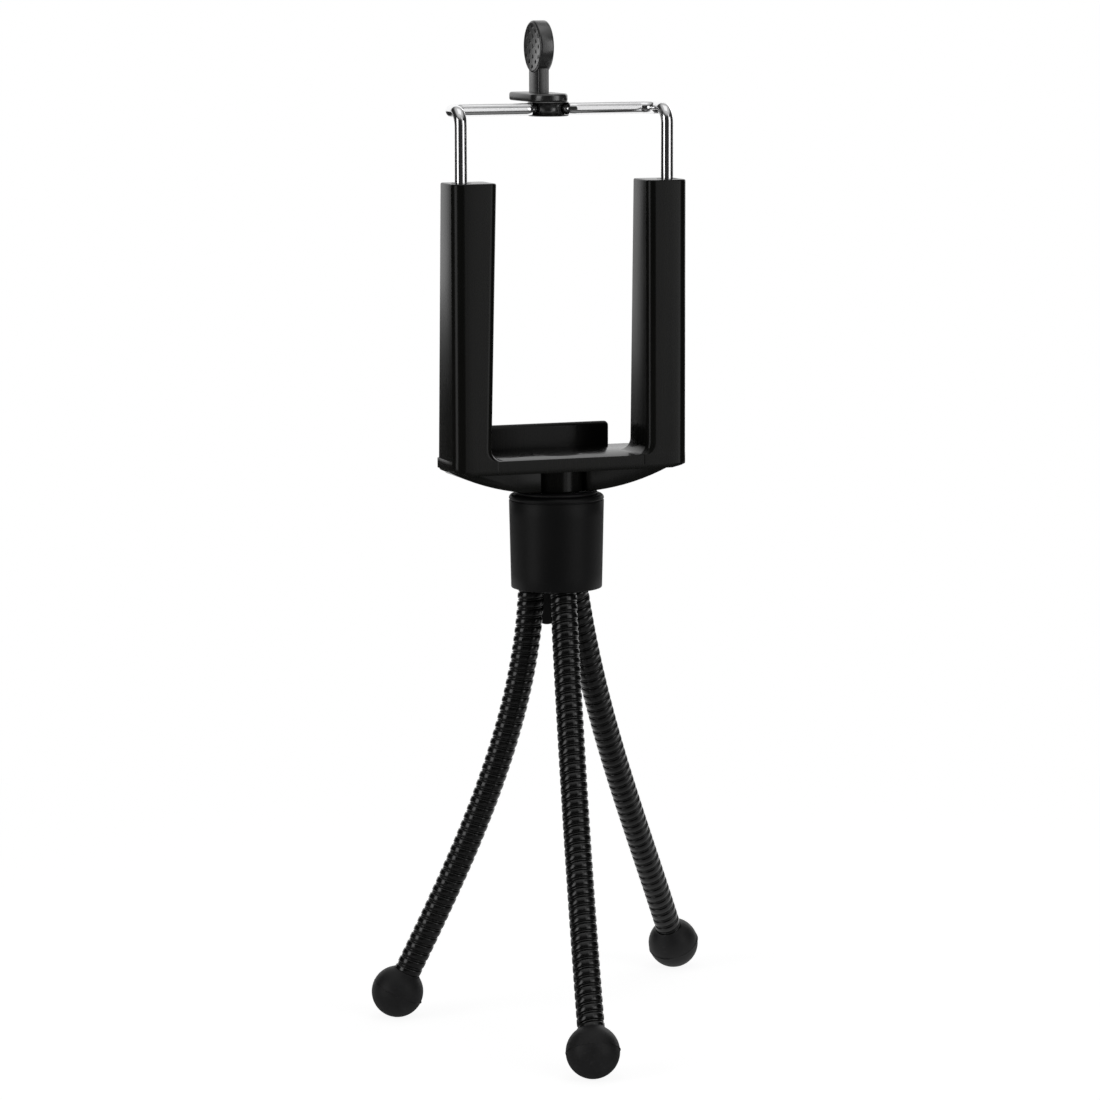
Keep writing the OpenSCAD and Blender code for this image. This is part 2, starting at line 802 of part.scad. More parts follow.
foot(LEFT);  // left_foot
hose_stub(BACK);  // back_leg_hose_0
hose_link(BACK, 1);  // back_leg_hose_1
hose_link(BACK, 2);  // back_leg_hose_2
hose_link(BACK, 3);  // back_leg_hose_3
hose_link(BACK, 4);  // back_leg_hose_4
hose_link(BACK, 5);  // back_leg_hose_5
core_stub(BACK);  // back_leg_core_0
core_link(BACK, 1);  // back_leg_core_1
core_link(BACK, 2);  // back_leg_core_2
core_link(BACK, 3);  // back_leg_core_3
core_link(BACK, 4);  // back_leg_core_4
core_link(BACK, 5);  // back_leg_core_5
foot(BACK);  // back_foot
hose_stub(RIGHT);  // right_leg_hose_0
hose_link(RIGHT, 1);  // right_leg_hose_1
hose_link(RIGHT, 2);  // right_leg_hose_2
hose_link(RIGHT, 3);  // right_leg_hose_3
hose_link(RIGHT, 4);  // right_leg_hose_4
hose_link(RIGHT, 5);  // right_leg_hose_5
core_stub(RIGHT);  // right_leg_core_0
core_link(RIGHT, 1);  // right_leg_core_1
core_link(RIGHT, 2);  // right_leg_core_2
core_link(RIGHT, 3);  // right_leg_core_3
core_link(RIGHT, 4);  // right_leg_core_4
core_link(RIGHT, 5);  // right_leg_core_5
foot(RIGHT);  // right_foot
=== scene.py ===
import bisect
import json
import math

import bmesh
import bpy
from mathutils import Matrix, Vector
from mathutils.geometry import interpolate_bezier


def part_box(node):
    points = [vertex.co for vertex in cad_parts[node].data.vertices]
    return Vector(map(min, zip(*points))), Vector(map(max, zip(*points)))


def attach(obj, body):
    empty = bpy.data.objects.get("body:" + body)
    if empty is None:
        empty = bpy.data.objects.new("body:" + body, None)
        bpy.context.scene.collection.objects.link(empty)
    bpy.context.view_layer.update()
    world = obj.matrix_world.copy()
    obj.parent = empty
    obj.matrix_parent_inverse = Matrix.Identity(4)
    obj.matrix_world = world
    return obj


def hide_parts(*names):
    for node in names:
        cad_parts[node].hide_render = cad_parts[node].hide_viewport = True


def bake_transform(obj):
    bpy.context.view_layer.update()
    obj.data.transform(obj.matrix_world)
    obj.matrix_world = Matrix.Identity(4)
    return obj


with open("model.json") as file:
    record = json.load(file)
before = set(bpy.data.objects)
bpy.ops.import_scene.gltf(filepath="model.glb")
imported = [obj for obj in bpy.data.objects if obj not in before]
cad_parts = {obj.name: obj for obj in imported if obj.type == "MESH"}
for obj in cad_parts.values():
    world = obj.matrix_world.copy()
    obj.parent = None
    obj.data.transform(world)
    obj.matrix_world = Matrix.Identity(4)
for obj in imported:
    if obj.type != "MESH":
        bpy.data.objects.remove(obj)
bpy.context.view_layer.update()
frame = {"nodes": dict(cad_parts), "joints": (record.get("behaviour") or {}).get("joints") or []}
scene = bpy.context.scene
scene.view_settings.view_transform = "Standard"

# The view
# A long lens a little above the clamp, twenty degrees round to the left of the tripod's
# back. Meshes are drawn in millimetres and go to metres when a piece is finished.
screw_axis = Vector((-3.807, 7.766, 0))
lens = bpy.data.cameras.new("view")
lens.lens, lens.sensor_width, lens.clip_start = 139.09, 36, 0.01
camera = bpy.data.objects.new("view", lens)
camera.location = (-0.29866, -0.79904, 0.22)
aim = Matrix.Rotation(math.radians(-19.986), 3, "Z") @ Matrix.Rotation(math.radians(81.9), 3, "X")
camera.rotation_euler = (aim @ Matrix.Rotation(math.radians(-0.15), 3, "Z")).to_euler()
scene.collection.objects.link(camera)
scene.camera = camera


# The table and the light
# A white table with the soft shadow of the tripod on it. Glossy pieces mirror a dark room
# that is white beyond the tripod, and softboxes at the left, the right and above.
class Tone:
    """A socket of a finish: sums written on it add Math nodes, node() adds any other node."""

    def __init__(self, tree, socket=None):
        self.tree, self.socket = tree, socket

    def node(self, kind, settings=None, sockets=None, output=0):
        made = self.tree.nodes.new(kind)
        for name, value in (settings or {}).items():
            if name == "stops":
                ramp = made.color_ramp
                while len(ramp.elements) < len(value):
                    ramp.elements.new(0.5)
                for stop, (place, shade) in zip(ramp.elements, value):
                    stop.position, stop.color = place, shade
            else:
                setattr(made, name, value)
        for name, value in (sockets or {}).items():
            if isinstance(value, Tone):
                self.tree.links.new(value.socket, made.inputs[name])
            else:
                made.inputs[name].default_value = value
        return Tone(self.tree, made.outputs[output] if made.outputs else None)

    def sum(self, operation, first, second):
        return self.node("ShaderNodeMath", {"operation": operation}, {0: first, 1: second})

    def __add__(self, other):
        return self.sum("ADD", self, other)

    __radd__ = __add__

    def __sub__(self, other):
        return self.sum("SUBTRACT", self, other)

    def __rsub__(self, other):
        return self.sum("SUBTRACT", other, self)

    def __mul__(self, other):
        return self.sum("MULTIPLY", self, other)

    __rmul__ = __mul__

    def ease(self, low, high):
        """0 where the tone is under low and 1 over high, with a smooth change between."""
        return self.node("ShaderNodeMapRange", {"interpolation_type": "SMOOTHSTEP"},
                         {"Value": self, "From Min": low, "From Max": high})

    def mix(self, low, high):
        """The colour low where the tone is 0 and high where it is 1."""
        return self.node("ShaderNodeMix", {"data_type": "RGBA"}, {0: self, 6: low, 7: high}, 2)

    def part(self, axis):
        """One number, X, Y or Z, of a place."""
        return self.node("ShaderNodeSeparateXYZ", sockets={0: self}, output=axis)

    def along(self, direction):
        """How far a place lies in a direction."""
        return self.node("ShaderNodeVectorMath", {"operation": "DOT_PRODUCT"},
                         {0: self, 1: direction}, "Value")

    def length(self):
        """Distance of a place from the middle."""
        return self.node("ShaderNodeVectorMath", {"operation": "LENGTH"}, {0: self}, "Value")

    def stretch(self, x, y, z):
        return self.node("ShaderNodeVectorMath", {"operation": "MULTIPLY"}, {0: self, 1: (x, y, z)})

    def noise(self, scale, detail=3.0, roughness=0.5):
        """Cloudy pattern round 0.5 over this place, of the given scale to the metre."""
        return self.node("ShaderNodeTexNoise", sockets={
            "Vector": self, "Scale": scale, "Detail": detail, "Roughness": roughness})


beyond = (0.342, 0.94, 0)
world = bpy.data.worlds.new("room")
world.use_nodes = True
scene.world = world
world.node_tree.nodes.clear()
room = Tone(world.node_tree)
heading = room.node("ShaderNodeTexCoord", output="Generated")
seen = room.node("ShaderNodeLightPath", output="Is Camera Ray")
glossy = room.node("ShaderNodeLightPath", output="Is Glossy Ray")
through = room.node("ShaderNodeLightPath", output="Is Transmission Ray")
level = heading.part(2)
backdrop = (heading.along(beyond) + 0.2 * level.ease(-0.06, -0.04)).ease(0.9, 0.985)
mirrored_room = 0.02 + 0.98 * backdrop + 0.5 * level.ease(0.5, 0.85)
hidden = 1 - seen
for_gloss = hidden * (glossy + through).ease(0.2, 0.8) * mirrored_room
for_matt = hidden * (1 - glossy) * 0.16
background = room.node("ShaderNodeBackground",
                       sockets={"Color": (1, 1, 1, 1), "Strength": seen + for_gloss + for_matt})
room.node("ShaderNodeOutputWorld", sockets={"Surface": background})

table_bm = bmesh.new()
bmesh.ops.create_circle(table_bm, cap_ends=True, segments=96, radius=0.42)
table_mesh = bpy.data.meshes.new("table")
table_bm.to_mesh(table_mesh)
table_bm.free()
table = bpy.data.objects.new("table", table_mesh)
scene.collection.objects.link(table)
white = bpy.data.materials.new("table_white")
white.use_nodes = True
white.node_tree.nodes.clear()
cloth = Tone(white.node_tree)
spot = cloth.node("ShaderNodeTexCoord", output="Object")
mirrored = cloth.node("ShaderNodeLightPath", output="Is Glossy Ray")
kept = 1 - 0.95 * mirrored * (1 - spot.along(beyond).ease(-0.02, 0.12))
shaded = cloth.node("ShaderNodeBsdfDiffuse", sockets={"Color": (0.4, 0.4, 0.4, 1)})
lit = cloth.node("ShaderNodeEmission", sockets={"Color": (1, 1, 1, 1), "Strength": 0.89 * kept})
plain = cloth.node("ShaderNodeEmission", sockets={"Color": (1, 1, 1, 1), "Strength": kept})
near = cloth.node("ShaderNodeAddShader", sockets={0: shaded, 1: lit})
whole = cloth.node("ShaderNodeMixShader",
                   sockets={0: spot.length().ease(0.1, 0.3), 1: near, 2: plain})
cloth.node("ShaderNodeOutputMaterial", sockets={"Surface": whole})
table_mesh.materials.append(white)


def softbox(name, turn, distance, height, width, tall, radiance):
    """A soft lamp at a turn from the view's own side, aimed at the middle of the tripod."""
    lamp = bpy.data.lights.new(name, "AREA")
    lamp.shape, lamp.size, lamp.size_y = "RECTANGLE", width, tall
    lamp.energy = radiance * math.pi * width * tall
    box = bpy.data.objects.new(name, lamp)
    side = math.radians(turn - 20)
    box.location = (distance * math.sin(side), -distance * math.cos(side), height)
    box.rotation_euler = (Vector((0, 0, 0.1)) - box.location).to_track_quat("-Z", "Y").to_euler()
    scene.collection.objects.link(box)


softbox("softbox_left", -60, 0.75, 0.24, 0.34, 0.6, 1.8)
softbox("softbox_right", 56, 0.75, 0.24, 0.26, 0.6, 1.5)
softbox("softbox_front", 38, 0.8, 0.3, 0.18, 1.2, 0.8)
softbox("softbox_far", 150, 0.95, 0.45, 0.4, 0.4, 0.9)
softbox("softbox_above", 0, 0.02, 0.85, 0.5, 0.5, 0.45)


# The ball feet
# Three solid rubber balls, each moulded in two halves. The halves leave an uneven flash
# round the ball's middle, and the gooseneck is pushed into a socket in its top.
def arc(x, z, r, start, end, count):
    """Places on a round from start to end, in degrees, for an outline."""
    turns = [math.radians(start + (end - start) * n / count) for n in range(count + 1)]
    return [(x + r * math.cos(turn), z + r * math.sin(turn)) for turn in turns]


def turned(outline, closed=False, steps=96):
    """A turned shape from its half outline of (radius, height) places."""
    work = bmesh.new()
    places = [work.verts.new((r, 0, z)) for r, z in outline]
    edges = [work.edges.new(pair) for pair in zip(places, places[1:])]
    if closed:
        edges.append(work.edges.new((places[-1], places[0])))
    bmesh.ops.spin(work, geom=places + edges, cent=(0, 0, 0), axis=(0, 0, 1), angle=math.tau,
                   steps=steps, use_merge=True)
    bmesh.ops.remove_doubles(work, verts=work.verts, dist=0.0005)
    return work


def settle(name, work, body, finish, nodes, place=None, sharp=38):
    """Ends a piece: metres, smooth shading with crisp edges, its finish, body and nodes."""
    bmesh.ops.recalc_face_normals(work, faces=work.faces)
    if place is not None:
        work.transform(place)
    work.transform(Matrix.Scale(0.001, 4))
    mesh = bpy.data.meshes.new(name)
    work.to_mesh(mesh)
    work.free()
    mesh.shade_smooth()
    mesh.set_sharp_from_angle(angle=math.radians(sharp))
    mesh.materials.append(finish)
    piece = bpy.data.objects.new(name, mesh)
    scene.collection.objects.link(piece)
    if body:
        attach(piece, body)
    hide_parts(*nodes)
    return piece


def coat(name, look, fixed):
    """A finish: look(place) gives colour, roughness and relief in millimetres, fixed the rest."""
    finish = bpy.data.materials.new(name)
    finish.use_nodes = True
    finish.node_tree.nodes.clear()
    base = Tone(finish.node_tree)
    colour, rough, relief = look(base.node("ShaderNodeTexCoord", output="Object"))
    bump = base.node("ShaderNodeBump",
                     sockets={"Height": relief, "Strength": 1.0, "Distance": 0.001})
    shader = base.node("ShaderNodeBsdfPrincipled",
                       sockets={"Base Color": colour, "Roughness": rough, "Normal": bump, **fixed})
    base.node("ShaderNodeOutputMaterial", sockets={"Surface": shader})
    return finish


def rubber_look(place):
    clouds = place.noise(260, 4)
    dust = place.noise(1500, 2).ease(0.56, 0.72) * place.noise(130, 2).ease(0.42, 0.62)
    colour = (clouds * 0.6 + dust * 0.4).mix((0.004, 0.004, 0.0042, 1), (0.022, 0.022, 0.023, 1))
    relief = 0.012 * place.noise(900, 3) + 0.05 * place.noise(120, 1)
    return colour, 0.42 + 0.2 * clouds + 0.1 * dust, relief


foot_rubber = coat("foot_rubber", rubber_look, {"Specular IOR Level": 0.3})
legs = ("left", "back", "right")
foot_r, socket_r, socket_mark = 5.348, 2.72, 4
# The legs leave the collar's lower edge on a ring round the screw, and go on up inside it.
collar_z, leg_ring_r, sunk_end = 90.2, 5.3, 8
up = Vector((0, 0, 1))


def foot_middle(leg):
    """The middle of a ball foot that rests on the floor."""
    low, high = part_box(f"{leg}_foot")
    return Vector(((low.x + high.x) * 500, (low.y + high.y) * 500, foot_r))


# In degrees: a leg's angle round the screw, and how it leans at the collar and at its foot.
leans = {"left": (147, 2, 26), "back": (264.5, 20, 34), "right": (27, 16, 30)}


def leg_line(leg, steps=200):
    """Places along a leg's middle with their distance from the foot's middle, going up."""
    angle, root_lean, foot_lean = (math.radians(a) for a in leans[leg])
    foot = foot_middle(leg)
    root = screw_axis + Vector((leg_ring_r * math.cos(angle), leg_ring_r * math.sin(angle),
                                collar_z))
    out = (foot - root) * Vector((1, 1, 0))
    out.normalize()
    down_root, down_foot = (math.sin(a) * out - math.cos(a) * up for a in (root_lean, foot_lean))
    handle = (foot - root).length / 3
    places = interpolate_bezier(foot, foot - down_foot * handle, root + down_root * handle, root,
                                steps)
    places.append(root - down_root * sunk_end)
    marks = [0.0]
    for low, high in zip(places, places[1:]):
        marks.append(marks[-1] + (high - low).length)
    return places, marks


def on_line(line, mark):
    """Place and upward direction at a distance along a leg's line."""
    places, marks = line
    n = min(max(bisect.bisect_left(marks, mark), 1), len(marks) - 1)
    share = (mark - marks[n - 1]) / (marks[n] - marks[n - 1])
    place = places[n - 1].lerp(places[n], share)
    before = places[n] - places[n - 1]
    after = places[min(n + 1, len(places) - 1)] - places[n] if n + 1 < len(places) else before
    last = places[n - 1] - places[n - 2] if n > 1 else before
    way = (last + before).normalized().lerp((before + after).normalized(), share)
    return place, way.normalized()


rim, flash_turn = math.degrees(math.acos(socket_r / foot_r)), 2.4
flash = arc(foot_r - 0.02, 0, 0.09, -70, 70, 4)
socket = [(socket_r + 0.12, 4.66), (socket_r + 0.02, 4.56), (socket_r - 0.05, 2.4), (0, 2.3)]
for leg in legs:
    ball = turned(arc(0, 0, foot_r, -90, -flash_turn, 22) + flash
                  + arc(0, 0, foot_r, flash_turn, rim - 3, 12) + socket)
    # The flash stands out unevenly round the ball.
    for point in ball.verts:
        out = math.hypot(point.co.x, point.co.y)
        if out > foot_r + 0.03:
            turn = math.atan2(point.co.y, point.co.x)
            lift = 1 + (0.03 + 0.1 * math.sin(turn * 2 + 1) * math.sin(turn * 5)) / out
            point.co.x, point.co.y = point.co.x * lift, point.co.y * lift
    middle = foot_middle(leg)
    lean = on_line(leg_line(leg), socket_mark)[1].to_track_quat("Z", "Y").to_matrix().to_4x4()
    settle(f"{leg}_ball_foot", ball, f"{leg}_leg_5", foot_rubber, [f"{leg}_foot"],
           Matrix.Translation(middle) @ lean)


# The gooseneck legs
# Each leg is one steel strip wound into a bendable tube and lacquered black. Every turn
# shows a broad crowned band and, below a fine crease, the narrow edge of the turn under
# it. A leg is drawn straight, in whole turns, and then laid along its own curve.
pitch, around = 1.85, 24
band = [(0.0, 2.36), (0.04, 2.53), (0.1, 2.6), (0.2, 2.61), (0.29, 2.6), (0.34, 2.53), (0.38, 2.38),
        (0.42, 2.38), (0.46, 2.58), (0.53, 2.69), (0.66, 2.738), (1.1, 2.755), (1.54, 2.738),
        (1.67, 2.69), (1.74, 2.58), (1.78, 2.38), (pitch, 2.36)]
bends = {joint["name"]: Vector(joint["pos_m"]) * 1000
         for joint in frame["joints"] if "pos_m" in joint}


def leg_bends(leg):
    """The five places where a leg bends, from the collar down."""
    return [bends[f"{leg}_leg_{'spread' if k % 2 else 'sway'}_{k}"] for k in range(1, 6)]


def points_in(parts):
    """The vertices among the parts of a mesh."""
    return [part for part in parts if isinstance(part, bmesh.types.BMVert)]


def wound(turns, first):
    """A closed length of gooseneck in whole turns, straight up from 0, with its laid place."""
    work = bmesh.new()
    places = [work.verts.new((r, 0, z)) for z, r in band]
    edges = [work.edges.new(pair) for pair in zip(places, places[1:])]
    bmesh.ops.spin(work, geom=places + edges, cent=(0, 0, 0), axis=(0, 0, 1),
                   angle=math.tau * turns, dvec=(0, 0, pitch / around), steps=around * turns)
    bmesh.ops.remove_doubles(work, verts=work.verts, dist=0.001)
    laid = work.verts.layers.float_vector.new("laid")
    for point in work.verts:
        point[laid] = point.co + Vector((0, 0, first))
    ends = [edge for edge in work.edges if edge.is_boundary]
    middle = turns * pitch / 2
    # Each end is closed by a cone to its middle, inside the tube.
    for low in (True, False):
        rim = [edge for edge in ends if (edge.verts[0].co.z < middle) == low]
        tips = points_in(bmesh.ops.extrude_edge_only(work, edges=rim)["geom"])
        height = 0.5 * pitch if low else (turns + 0.5) * pitch
        bmesh.ops.pointmerge(work, verts=tips, merge_co=(0, 0, height))
    bmesh.ops.recalc_face_normals(work, faces=work.faces)
    return work


def lacquer_look(place):
    # laid is where a point was on the straight tube, in millimetres.
    laid = place.node("ShaderNodeAttribute", {"attribute_name": "laid"}, output="Vector")
    out = laid.stretch(1, 1, 0).length()
    crown = out.ease(2.42, 2.58)
    drawn = laid.stretch(1.4, 1.4, 6).noise(1.6, 3)
    worn = out.ease(2.64, 2.7) * laid.stretch(1, 1, 2).noise(0.9, 4).ease(0.6, 0.78)
    # Painted shade: the grooves between the turns are painted darker than the crowns, as shade
    # where the turns meet.
    painted_groove_shade = crown.mix((0.0008, 0.0008, 0.0008, 1), (0.0022, 0.0022, 0.0022, 1))
    colour = (worn * 0.35).mix(painted_groove_shade, (0.03, 0.03, 0.031, 1))
    return colour, 0.15 + 0.1 * drawn + 0.3 * (1 - crown) - 0.04 * worn, 0.01 * drawn


gooseneck_lacquer = coat("gooseneck_lacquer", lacquer_look, {"Specular IOR Level": 0.62})
first_mark, top_gap, bend_reach = 2.7, 1.2, 8

for leg in legs:
    line = leg_line(leg)
    total = line[1][-1]
    chain = leg_bends(leg)
    bend_marks = [min(zip(line[1], line[0]), key=lambda at: (at[1] - spot).length)[0]
                  for spot in chain]
    across = (chain[-1] - chain[0]).cross(up).normalized()
    mark = first_mark
    for k in (5, 4, 3, 2, 1):
        until = (bend_marks[k - 1] + bend_marks[k - 2]) / 2 if k > 1 else total - top_gap
        turns = round((until - mark) / pitch) if k > 1 else int((until - mark) / pitch)
        tube = wound(turns, mark)
        for point in tube.verts:
            place, way = on_line(line, mark + point.co.z)
            out = across.cross(way).normalized()
            side = way.cross(out)
            point.co = place + out * point.co.x + side * point.co.y
        piece = settle(f"{leg}_gooseneck_{k}", tube, None, gooseneck_lacquer,
                       [f"{leg}_leg_hose_{k}"] + ([f"{leg}_leg_hose_0"] if k == 1 else []),
                       sharp=50)
        upper, _ = on_line(line, bend_marks[k - 1] + bend_reach)
        lower, _ = on_line(line, bend_marks[k - 1] - bend_reach)
        upper / 1000
        lower / 1000
        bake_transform(piece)
        mark += turns * pitch


# The core wires
# A soft steel wire runs down the inside of every leg and keeps the shape that it is bent
# to. It is hidden by the gooseneck.
def repaint(finish, *nodes):
    """Gives CAD nodes whose shape is right their finish."""
    for name in nodes:
        mesh = frame["nodes"][name].data
        mesh.materials.clear()
        mesh.materials.append(finish)


def drawn_steel_look(place):
    lines = place.stretch(1, 1, 0.05).noise(2200, 3)
    colour = lines.mix((0.2, 0.2, 0.205, 1), (0.42, 0.42, 0.43, 1))
    return colour, 0.3 + 0.2 * lines, 0.004 * lines


drawn_steel = coat("drawn_steel", drawn_steel_look, {"Metallic": 1.0})
repaint(drawn_steel, *[f"{leg}_leg_core_{k}" for leg in legs for k in range(6)])


# The leg hub
# A black nylon plug pressed up into the collar, with a bore for the end of each leg and a
# tab with a round bottom that hangs down on the far side.
def nylon_look(place):
    clouds = place.noise(320, 4)
    colour = clouds.mix((0.001, 0.001, 0.001, 1), (0.004, 0.004, 0.0041, 1))
    return colour, 0.34 + 0.16 * clouds, 0.01 * place.noise(700, 3)


hub_nylon = coat("hub_nylon", nylon_look, {"Specular IOR Level": 0.2})
hub_low, hub_high, hub_r = 91.2, 100.8, 8.36
bore_r, bore_deep = 2.84, 8.2
tab_half, tab_drop, tab_z, tab_t, tab_out, tab_turn = 5.4, 10, 91.4, 1.3, 6.75, 177


def joined(*works):
    """One mesh of several closed shells."""
    whole = bmesh.new()
    for work in works:
        bmesh.ops.recalc_face_normals(work, faces=work.faces)
        part = bpy.data.meshes.new("part")
        work.to_mesh(part)
        work.free()
        whole.from_mesh(part)
        bpy.data.meshes.remove(part)
    return whole


def edges_in(parts):
    """The edges among the parts of a mesh."""
    return [part for part in parts if isinstance(part, bmesh.types.BMEdge)]


def rounded(work, edges, offset, segments=3):
    """Rounds some edges of a shape."""
    bmesh.ops.bevel(work, geom=edges, offset=offset, offset_type="OFFSET", affect="EDGES",
                    segments=segments, profile=0.5, material=-1, clamp_overlap=True)


def crisp(work, angle=30):
    """The edges of a shape that turn by more than an angle."""
    least = math.radians(angle)
    return [edge for edge in work.edges if edge.is_manifold and edge.calc_face_angle(0) > least]


def prism(outline, along, start, end):
    """A flat outline drawn out along Y, for outlines in X and Z, or Z, for outlines in X and Y."""
    work = bmesh.new()
    places = [(a, start, b) if along == "Y" else (a, b, start) for a, b in outline]
    bmesh.ops.contextual_create(work, geom=[work.verts.new(place) for place in places])
    drawn = bmesh.ops.extrude_face_region(work, geom=work.faces[:])["geom"]
    way = (0, end - start, 0) if along == "Y" else (0, 0, end - start)
    bmesh.ops.translate(work, vec=way, verts=points_in(drawn))
    bmesh.ops.recalc_face_normals(work, faces=work.faces)
    return work


def holed(work, face, rings):
    """Opens a face round a few closed rings of edges."""
    rims = face.edges[:] + [edge for ring in rings for edge in ring]
    bmesh.ops.delete(work, geom=[face], context="FACES_ONLY")
    bmesh.ops.triangle_fill(work, use_beauty=True, edges=rims)


def ring_at(work, centre, radius, steps=40):
    """A round ring of edges at a place."""
    points = bmesh.ops.create_circle(work, cap_ends=False, segments=steps, radius=radius,
                                     matrix=Matrix.Translation(centre))["verts"]
    return list({edge for point in points for edge in point.link_edges})


def sunk(work, ring, way):
    """Draws a ring of edges into a closed bore."""
    drawn = bmesh.ops.extrude_edge_only(work, edges=ring)["geom"]
    bmesh.ops.translate(work, vec=way, verts=points_in(drawn))
    bmesh.ops.contextual_create(work, geom=[edge for edge in edges_in(drawn) if edge.is_boundary])


plug = turned([(0, hub_low), (hub_r - 0.26, hub_low), (hub_r, hub_low + 0.26),
               (hub_r, hub_high - 0.3), (hub_r - 0.3, hub_high), (0, hub_high)])
bottom = [face for face in plug.faces if abs(face.calc_center_median().z - hub_low) < 0.01]
bmesh.ops.dissolve_faces(plug, faces=bottom)
bottom = min(plug.faces, key=lambda face: face.calc_center_median().z)
bores = []
for leg in legs:
    places, marks = leg_line(leg)
    way = (places[-1] - places[-2]).normalized()
    centre = places[-1] + way * ((hub_low - places[-1].z) / way.z) - screw_axis
    bores.append((ring_at(plug, (centre.x, centre.y, hub_low), bore_r), way * bore_deep))
holed(plug, bottom, [ring for ring, way in bores])
for ring, way in bores:
    sunk(plug, ring, way)

tab_turns = [math.tau * n / 64 for n in range(64)]
tab = prism([(tab_half * math.sin(turn), tab_z - tab_drop * math.cos(turn)) for turn in tab_turns],
            "Y", -tab_t / 2, tab_t / 2)
rounded(tab, crisp(tab, 40), 0.35, 3)
for point in tab.verts:
    point.co.z = min(point.co.z, tab_z + 1)
bmesh.ops.transform(tab, verts=tab.verts,
                    matrix=Matrix.Rotation(math.radians(tab_turn), 4, "Z")
                    @ Matrix.Translation((0, -tab_out, 0)))
settle("hub", joined(plug, tab), "head", hub_nylon, ["leg_hub"],
       Matrix.Translation(screw_axis))


# The collar
# A slightly tapered sleeve, turned from black acetal and satin all over, with a rounded
# upper edge, a fine ring line under it and a closed top that the screw goes through.
def satin_look(place):
    clouds = place.noise(90, 3)
    grain = place.noise(1700, 2)
    colour = (clouds * 0.7 + grain * 0.3).mix((0.0016, 0.0016, 0.0017, 1),
                                              (0.0048, 0.0048, 0.005, 1))
    scuff = place.stretch(1, 1, 3).noise(330, 5, 0.7).ease(0.6, 0.75)
    return colour, 0.42 + 0.12 * clouds + 0.1 * scuff, 0.005 * grain + 0.006 * clouds


collar_acetal = coat("collar_acetal", satin_look, {"Specular IOR Level": 0.25})
low_r, top_r, tall, collar_bore, edge_r = 9.3, 9.7, 19.2, 8.4, 0.8
ring_z, wall_z, screw_hole_r = tall - 1.2, tall - 2.6, 3.12


def side_r(z):
    """Radius of the collar's side at a height."""
    return low_r + (top_r - low_r) * z / (tall - edge_r)


collar_outline = ([(collar_bore, 0.25), (collar_bore + 0.2, 0.0), (low_r - 0.28, 0.0),
                   (low_r - 0.06, 0.08), (low_r, 0.3)]
                  + [(side_r(z), z) for z in (3, 6, 9, 12, 15, ring_z - 0.12)]
                  + [(side_r(ring_z) - 0.05, ring_z - 0.02), (top_r - 0.24, ring_z + 0.05),
                     (top_r - 0.24, ring_z + 0.25), (top_r - 0.04, ring_z + 0.33)]
                  + arc(top_r - edge_r, tall - edge_r, edge_r, 0, 90, 9)
                  + [(3.3, tall), (screw_hole_r, tall - 0.2), (screw_hole_r, wall_z),
                     (collar_bore - 0.3, wall_z), (collar_bore, tall - 2.9)])
settle("collar", turned(collar_outline, closed=True, steps=128), "head",
       collar_acetal, ["collar_shell"], Matrix.Translation(screw_axis + up * collar_z))


# The soft pad
# A thin ring of black rubber between the collar and the clamp, which keeps the clamp
# from slipping when it is turned tight.
pad_edge_r, pad_t, pad_hole_r = 8.08, 0.6, 3.22
pad_outline = (arc(pad_edge_r, pad_t / 2, pad_t / 2, -90, 90, 8)
               + [(3.4, pad_t), (pad_hole_r, 0.48), (pad_hole_r, 0.12), (3.4, 0.0)])
settle("pad", turned(pad_outline, closed=True), "head", foot_rubber, ["top_pad"],
       Matrix.Translation(screw_axis + up * (collar_z + tall)))


# The clamp screw
# A zinc-plated bolt whose six-sided head sits under the collar's top wall. Its thread
# stands up through the pad into the clamp.
def zinc_look(place):
    clouds = place.noise(420, 4)
    colour = clouds.mix((0.34, 0.345, 0.35, 1), (0.6, 0.6, 0.59, 1))
    return colour, 0.28 + 0.18 * clouds, 0.004 * place.noise(2500, 2)


zinc_plate = coat("zinc_plate", zinc_look, {"Metallic": 1.0})
repaint(zinc_plate, "clamp_screw")


# The clamp
# One glossy black moulding: the shelf with its lip, a boat-shaped hull under the shelf
# with a notch and a boss in its back, and two hollow uprights for the sprung wire.
def block(low, high):
    """A block between two corners."""
    work = bmesh.new()
    bmesh.ops.create_cube(work, size=1)
    size = [h - l for l, h in zip(low, high)]
    bmesh.ops.scale(work, vec=size, verts=work.verts)
    bmesh.ops.translate(work, vec=[(l + h) / 2 for l, h in zip(low, high)], verts=work.verts)
    return work


def clamp_look(place):
    clouds = place.noise(70, 3)
    flow = place.stretch(1, 1, 0.02).noise(950, 2, 0.6)
    scratch = place.stretch(1, 1, 0.12).noise(620, 6, 0.75).ease(0.64, 0.74)
    colour = (clouds * 0.4 + flow * 0.6).mix((0.003, 0.0031, 0.0027, 1), (0.008, 0.008, 0.0072, 1))
    relief = 0.006 * flow + 0.012 * clouds + 0.003 * scratch
    return colour, 0.15 + 0.12 * clouds + 0.14 * scratch, relief


clamp_gloss = coat("clamp_gloss", clamp_look, {"Specular IOR Level": 0.2})
pad_z, shelf_z, mouth_z = 110.1, 117.7, 173.2
band_z, back_y, front_y = shelf_z - 2.8, -9.9, 11.1
half_w, flat_w, wing_y = 25, 21.5, 1.5
corner_r, front_r = 2.2, 2.6


def cut(work, at, normal, dist):
    """Adds edges where a plane crosses a shape."""
    bmesh.ops.bisect_plane(work, geom=work.verts[:] + work.edges[:] + work.faces[:], plane_co=at,
                           plane_no=normal, dist=dist)


